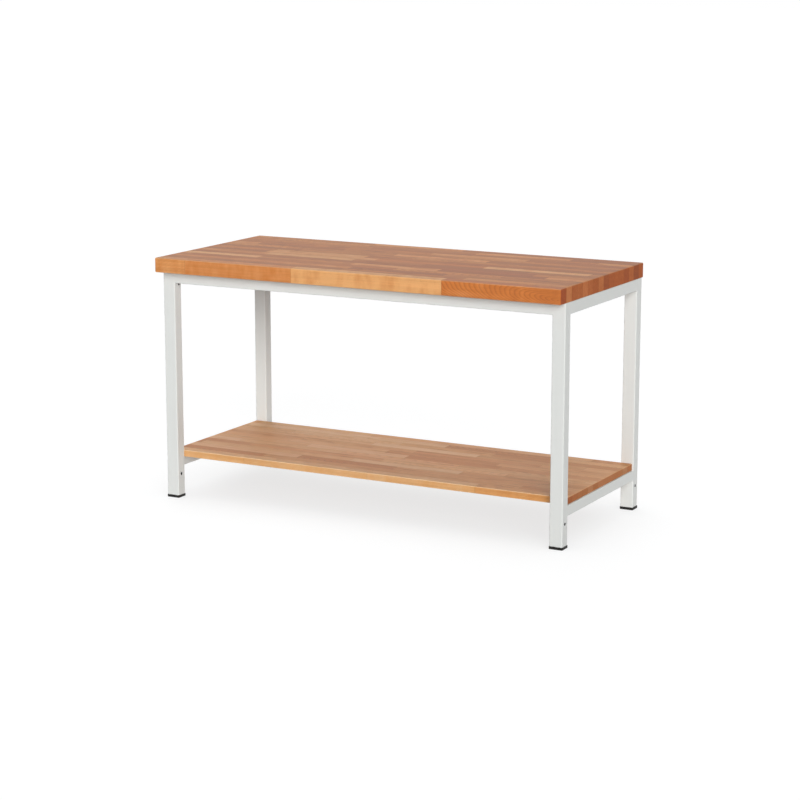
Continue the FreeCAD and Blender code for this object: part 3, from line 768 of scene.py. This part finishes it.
# ---- node trees that repeat or follow
class Growth(Nodes):
    """A Geometry Nodes tree with named inputs, put on one object and then made a plain mesh."""

    family = ""

    def __init__(self, name):
        super().__init__(bpy.data.node_groups.new(name, "GeometryNodeTree"))
        self.tree.interface.new_socket("Geometry", in_out="INPUT", socket_type="NodeSocketGeometry")
        self.start = self.tree.nodes.new("NodeGroupInput").outputs
        self.base = Signal(self.tree, self.start["Geometry"])
        self.values = {}

    def ask(self, **values):
        """Named inputs, as Signals, with the values that the modifier gives them."""
        for name, value in values.items():
            label = name.replace("_", " ").capitalize()
            kind = type(value).__name__.capitalize()
            item = self.tree.interface.new_socket(label, in_out="INPUT", socket_type=f"NodeSocket{kind}")
            self.values[item.identifier] = value
            yield Signal(self.tree, self.start[label])

    def close(self, shape, material):
        """Ends the tree: instances made real, and the material set."""
        self.tree.interface.new_socket("Geometry", in_out="OUTPUT", socket_type="NodeSocketGeometry")
        real = self.node("GeometryNodeRealizeInstances", {0: shape})
        done = self.node("GeometryNodeSetMaterial", {"Geometry": real, "Material": material})
        self.end("NodeGroupOutput", done)

    def grow(self, name, seed_mesh):
        """A plain mesh object: the tree's result on a mesh."""
        source = new_object(f"{name}_source", seed_mesh)
        modifier = source.modifiers.new(name, "NODES")
        modifier.node_group = self.tree
        for identifier, value in self.values.items():
            modifier[identifier] = value
        evaluated = source.evaluated_get(bpy.context.evaluated_depsgraph_get())
        mesh = bpy.data.meshes.new_from_object(evaluated)
        source.modifiers.remove(modifier)
        bpy.data.objects.remove(source)
        mesh.name = name
        return new_object(name, mesh)


def points_mesh(name, places, edges=()):
    """A mesh of loose points, or of edges between them."""
    mesh = bpy.data.meshes.new(name)
    mesh.from_pydata([tuple(place) for place in places], edges, [])
    return mesh


def driven_screws(name, look, shape, places, material):
    """One screw at each place, each turned by its own random angle."""
    template = new_object(f"{name}_template", shape)
    growth = Growth(name)
    screw, seed, plating = growth.ask(screw=template, seed=look.seed, plating=material)
    one = growth.node("GeometryNodeObjectInfo", {"Object": screw, "As Instance": True}, "Geometry")
    spin = growth.node("FunctionNodeRandomValue", {"Max": math.tau, "Seed": seed}, 1, data_type="FLOAT")
    turned = growth.node("ShaderNodeCombineXYZ", {2: spin})
    placing = {"Points": growth.base, "Instance": one, "Rotation": turned}
    growth.close(growth.node("GeometryNodeInstanceOnPoints", placing), plating)
    piece = growth.grow(name, points_mesh(name, places))
    bpy.data.objects.remove(template)
    return piece


def weld_beads(look, seams, material):
    """A rippled bead along each seam, a pair of points."""
    growth = Growth("weld_beads")
    radius, pitch, swell, seed, paint = growth.ask(
        bead_radius=look.bead_radius, ripple_pitch=look.ripple_pitch, ripple_depth=look.ripple_depth,
        seed=look.seed, paint=material,
    )
    seam = growth.node("GeometryNodeMeshToCurve", {0: growth.base})
    line = growth.node("GeometryNodeResampleCurve", {"Curve": seam, "Length": 0.0004}, mode="LENGTH")
    run = growth.node("GeometryNodeSplineParameter", output="Length")
    phase = (run / pitch).fraction() - 0.5
    ripple = 1.0 - phase * phase * 4.0
    unevenness = {"Scale": 180.0, "Detail": 1.0, "W": seed}
    wander = growth.node("ShaderNodeTexNoise", unevenness, noise_dimensions="4D")
    swollen = radius * (1.0 + swell * ripple + (wander - 0.5) * 0.25)
    # Each end is rounded off over one radius.
    full = growth.node("GeometryNodeSplineLength")
    nearness = 1.0 - (run.least(full - run) / radius + 0.1).least(1.0)
    rounded = (1.0 - nearness * nearness).root()
    circle = growth.node("GeometryNodeCurvePrimitiveCircle", {"Resolution": 12, "Radius": 1.0})
    swept = {"Curve": line, "Profile Curve": circle, "Scale": swollen * rounded, "Fill Caps": True}
    bead = growth.node("GeometryNodeCurveToMesh", swept)
    growth.close(bead, paint)
    places = [end for seam in seams for end in seam]
    edges = [(number, number + 1) for number in range(0, len(places), 2)]
    piece = growth.grow("weld_beads", points_mesh("weld_seams", places, edges))
    piece.data.shade_smooth()
    return piece


def foot_body(look, half_x, half_y, core_x, core_y, top):
    """A foot cap without its ribs, from half sizes of its flange and of its plug's core."""
    flange, edge, corner = look.flange_height, look.edge, look.flange_corner
    bends = [math.pi / 2 * step / (EDGE_POINTS - 1) for step in range(EDGE_POINTS)]
    # The flange is rounded from the floor up by its edge, and less under the leg.
    upper = edge * 0.6
    outline = [(edge * (1 - math.sin(bend)), edge * (1 - math.cos(bend))) for bend in bends]
    outline += [(upper * (1 - math.cos(bend)), flange - upper * (1 - math.sin(bend))) for bend in bends]
    rings = [rounded_ring(half_x - inset, half_y - inset, corner - inset, z) for inset, z in outline]
    # Up the plug's outside, over its rim and down into its hollow.
    wall, corner = look.plug_wall, look.plug_corner
    plug = [(0, flange), (0, top - edge), (edge, top), (wall, top), (wall, flange + edge)]
    rings += [rounded_ring(core_x - inset, core_y - inset, corner, z) for inset, z in plug]
    return lofted_shape("foot_body", rings)


def ribbed_foot(look, row, side, material):
    """Foot cap: a flange with rounded edges, and a hollow plug with ribs round it."""
    low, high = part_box(f"foot_{row}_{side}")
    leg_low, leg_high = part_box(f"leg_{row}_{side}")
    middle = (low + high) / 2
    inset = TUBE_WALL + look.plug_gap
    core_x = (leg_high.x - leg_low.x) / 2 - inset
    core_y = (leg_high.y - leg_low.y) / 2 - inset
    body = foot_body(look, (high.x - low.x) / 2, (high.y - low.y) / 2, core_x, core_y, high.z)

    growth = Growth("ribbed_foot")
    width, depth, corner, ribs, first, pitch, reach, plastic = growth.ask(
        plug_width=2 * core_x, plug_depth=2 * core_y, plug_corner=look.plug_corner, ribs=look.rib_count,
        first_rib=look.flange_height + look.rib_pitch / 2 + look.plug_gap, rib_pitch=look.rib_pitch,
        rib_reach=look.plug_gap * 0.95, plastic=material,
    )
    outline = growth.node("GeometryNodeCurvePrimitiveQuadrilateral", {"Width": width, "Height": depth})
    fillet = {"Curve": outline, "Radius": corner, "Count": 5}
    path = growth.node("GeometryNodeFilletCurve", fillet, mode="POLY")
    circle = growth.node("GeometryNodeCurvePrimitiveCircle", {"Resolution": 10, "Radius": reach})
    rib = growth.node("GeometryNodeCurveToMesh", {"Curve": path, "Profile Curve": circle})
    start = growth.node("ShaderNodeCombineXYZ", {2: first})
    spacing = growth.node("ShaderNodeCombineXYZ", {2: pitch})
    line = {"Count": ribs, "Start Location": start, "Offset": spacing}
    up_plug = growth.node("GeometryNodeMeshLine", line)
    ribbing = growth.node("GeometryNodeInstanceOnPoints", {"Points": up_plug, "Instance": rib})
    whole_foot = growth.node("GeometryNodeJoinGeometry", {0: ribbing})
    connect(growth.tree, whole_foot.socket.node.inputs[0], growth.base)
    growth.close(whole_foot, plastic)
    foot = growth.grow(f"foot_cap_{row}_{side}", body)
    foot.data.transform(Matrix.Translation((middle.x, middle.y, low.z)))
    return foot


def frame_seams(look):
    """Pairs of points along every weld of the frame."""
    seams = []
    flush = FLUSH * look.bead_radius
    for row in ROWS:
        for side in SIDES:
            seams += leg_seams(row, side, flush)
            seams += plate_seams(row, side)
    for row in ROWS:
        low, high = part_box(f"middle_tab_{row}")
        y = low.y if row == "front" else high.y
        third = (high.x - low.x) / 3
        seams.append(((low.x + third, y, low.z), (high.x - third, y, low.z)))
    return seams


def leg_seams(row, side, flush):
    """Welds between a leg and its three rails: one flush in each outer groove, and two in inner corners."""
    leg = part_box(f"leg_{row}_{side}")
    low_is_outer = (side == "left", row == "front")
    seams = []
    for name, along in ((f"top_rail_{row}", 0), (f"top_rail_{side}", 1), (f"lower_rail_{side}", 1)):
        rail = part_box(name)
        across = 1 - along
        bottom, top = rail[0].z, rail[1].z
        end = leg[low_is_outer[along]][along]
        outer = leg[not low_is_outer[across]][across]
        inner = rail[low_is_outer[across]][across]
        outward, past_end = math.copysign(1, outer), math.copysign(GROOVE, end)
        groove = (end + past_end, outer - outward * flush)
        corners = [
            (*groove, bottom), (*groove, top),
            (end, outer - outward * CORNER_START, bottom), (end, inner, bottom),
            (end, inner, bottom), (end, inner, top - TOP_CLEARANCE),
        ]
        if along == 1:
            corners = [(x, y, z) for y, x, z in corners]
        seams += zip(corners[::2], corners[1::2])
    return seams


def plate_seams(row, side):
    """Short welds under a corner plate, against its two rails."""
    low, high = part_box(f"corner_plate_{row}_{side}")
    rail_x, far_x = (low.x, high.x) if side == "left" else (high.x, low.x)
    rail_y, far_y = (low.y, high.y) if row == "front" else (high.y, low.y)
    return [
        tuple((rail_x, rail_y + (far_y - rail_y) * part, low.z) for part in PLATE_WELD),
        tuple((rail_x + (far_x - rail_x) * part, rail_y, low.z) for part in PLATE_WELD),
    ]


def screw_axes(node):
    """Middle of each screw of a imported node, seen from above, from front to rear and left to right."""
    widest_screw = 0.03
    screws = []
    for corner in (vertex.co.to_2d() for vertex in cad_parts[node].data.vertices):
        near = [screw for screw in screws if (screw[0] - corner).length < widest_screw]
        if near:
            near[0].append(corner)
        else:
            screws.append([corner])
    middles = [[(min(part) + max(part)) / 2 for part in zip(*screw)] for screw in screws]
    return sorted(middles, key=lambda middle: (round(middle[1], 4), middle[0]))


# ---- operators
class TABLE_OT_finish_worktop(bpy.types.Operator):
    """Give the worktop its oiled beech staves"""

    bl_idname = "table.finish_worktop"
    bl_label = "Finish Worktop"

    def execute(self, context):
        coat_nodes(beech("worktop_beech", context.scene.table_worktop, *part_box("worktop")), "worktop")
        return {"FINISHED"}


class TABLE_OT_finish_shelf(bpy.types.Operator):
    """Give the shelf its paler beech staves"""

    bl_idname = "table.finish_shelf"
    bl_label = "Finish Shelf"

    def execute(self, context):
        coat_nodes(beech("shelf_beech", context.scene.table_shelf, *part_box("shelf")), "shelf")
        return {"FINISHED"}


class TABLE_OT_paint_frame(bpy.types.Operator):
    """Powder-coat the legs, rails and plates, and lay the weld beads between them"""

    bl_idname = "table.paint_frame"
    bl_label = "Paint Frame"

    def execute(self, context):
        look = context.scene.table_paint
        drilled = named("leg", ROWS, SIDES) + named("lower_rail", SIDES)
        paint = powder_coat(look, drilled)
        coat_nodes(paint, *drilled, *named("top_rail", (*ROWS, *SIDES)))
        coat_nodes(paint, *named("corner_plate", ROWS, SIDES), *named("middle_tab", ROWS))
        give(weld_beads(look, frame_seams(look), paint), "frame_paint")
        return {"FINISHED"}


class TABLE_OT_fit_feet(bpy.types.Operator):
    """Press a moulded, ribbed cap into the bottom of each leg"""

    bl_idname = "table.fit_feet"
    bl_label = "Fit Feet"

    def execute(self, context):
        look = context.scene.table_feet
        plastic = moulded_plastic(look)
        for row in ROWS:
            for side in SIDES:
                give(ribbed_foot(look, row, side, plastic), "foot_plastic", f"foot_{row}_{side}")
        return {"FINISHED"}


class TABLE_OT_drive_screws(bpy.types.Operator):
    """Drive the hexagon screws into the worktop and the pan-head screws into the shelf"""

    bl_idname = "table.drive_screws"
    bl_label = "Drive Screws"

    def execute(self, context):
        look = context.scene.table_screws
        zinc = zinc_plate(look)
        plates_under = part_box("middle_tab_front")[0].z
        rails_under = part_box("shelf")[0].z - TUBE_WALL
        batches = [("hex_screws", "worktop_screws", hex_screw, plates_under)]
        batches += [(f"pan_screws_{side}", f"shelf_screws_{side}", pan_screw, rails_under) for side in SIDES]
        for name, node, screw, seat in batches:
            low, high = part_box(node)
            places = [(x, y, seat) for x, y in screw_axes(node)]
            shape = screw(look, seat - low.z, high.z - seat)
            give(driven_screws(name, look, shape, places, zinc), "screw_zinc", node)
        return {"FINISHED"}


class TABLE_OT_set_stage(bpy.types.Operator):
    """Set the floor, the soft lights and the camera"""

    bl_idname = "table.set_stage"
    bl_label = "Set Stage"

    def execute(self, context):
        scene = context.scene
        look = scene.table_stage
        reach = 60.0
        floor_mesh = bpy.data.meshes.new("floor")
        corners = [(-reach, -reach, 0), (reach, -reach, 0), (reach, reach, 0), (-reach, reach, 0)]
        floor_mesh.from_pydata(corners, [], [(0, 1, 2, 3)])
        floor_mesh.materials.append(backdrop_white(look))
        new_object("floor", floor_mesh)

        for name in ("key", "fill", "top"):
            lamp = bpy.data.lights.new(f"{name}_light", "SUN")
            lamp.energy = getattr(look, f"{name}_strength")
            lamp.angle = getattr(look, f"{name}_spread")
            sun = new_object(f"{name}_light", lamp)
            sun.rotation_euler = getattr(look, f"{name}_turn")
            # The two low suns don't glare on the boards.
            sun.visible_glossy = name == "top"

        # Soft light from all round, which the camera and reflections see as white.
        scene.world = bpy.data.worlds.new("sky")
        scene.world.use_nodes = True
        sky = Nodes(scene.world.node_tree)
        shine = sky.seen() * (1.0 - look.sky) + look.sky
        sky.end("OutputWorld", sky.node("Background", {"Color": (1.0, 1.0, 1.0), "Strength": shine}))

        lens = bpy.data.cameras.new("camera")
        lens.lens = look.camera_lens
        lens.sensor_width = 36
        lens.clip_end = 200
        camera = new_object("camera", lens)
        camera.location = look.camera_place
        camera.rotation_euler = (math.pi / 2 - look.camera_dip, 0, look.camera_turn)
        scene.camera = camera
        scene.view_settings.view_transform = "Standard"
        return {"FINISHED"}


OPERATORS = (
    TABLE_OT_finish_worktop,
    TABLE_OT_finish_shelf,
    TABLE_OT_paint_frame,
    TABLE_OT_fit_feet,
    TABLE_OT_drive_screws,
    TABLE_OT_set_stage,
)
LOOKS = {
    "table_worktop": WorktopLook,
    "table_shelf": ShelfLook,
    "table_paint": PaintLook,
    "table_feet": FootLook,
    "table_screws": ScrewLook,
    "table_stage": StageLook,
}


class TABLE_PT_finish(bpy.types.Panel):
    """The table's sizes and colours, and the steps that finish it"""

    bl_idname = "TABLE_PT_finish"
    bl_label = "Assembly Table"
    bl_space_type = "VIEW_3D"
    bl_region_type = "UI"
    bl_category = "Table"

    def draw(self, context):
        for operator in OPERATORS:
            self.layout.operator(operator.bl_idname)
        for name in LOOKS:
            look = getattr(context.scene, name)
            box = self.layout.box()
            for key in look.bl_rna.properties.keys():
                if key not in ("rna_type", "name"):
                    box.prop(look, key)


def register():
    """Registers the looks, the operators and the panel."""
    for name, look in LOOKS.items():
        bpy.utils.register_class(look)
        setattr(bpy.types.Scene, name, PointerProperty(type=look))
    for kind in (*OPERATORS, TABLE_PT_finish):
        bpy.utils.register_class(kind)


def unregister():
    """Takes back what register did."""
    for kind in (TABLE_PT_finish, *reversed(OPERATORS)):
        bpy.utils.unregister_class(kind)
    for name, look in reversed(LOOKS.items()):
        delattr(bpy.types.Scene, name)
        bpy.utils.unregister_class(look)


def main():
    """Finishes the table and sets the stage."""
    register()
    bpy.ops.table.finish_worktop()
    bpy.ops.table.finish_shelf()
    bpy.ops.table.paint_frame()
    bpy.ops.table.fit_feet()
    bpy.ops.table.drive_screws()
    bpy.ops.table.set_stage()
    bpy.context.view_layer.update()


if __name__ == "__main__":
    main()
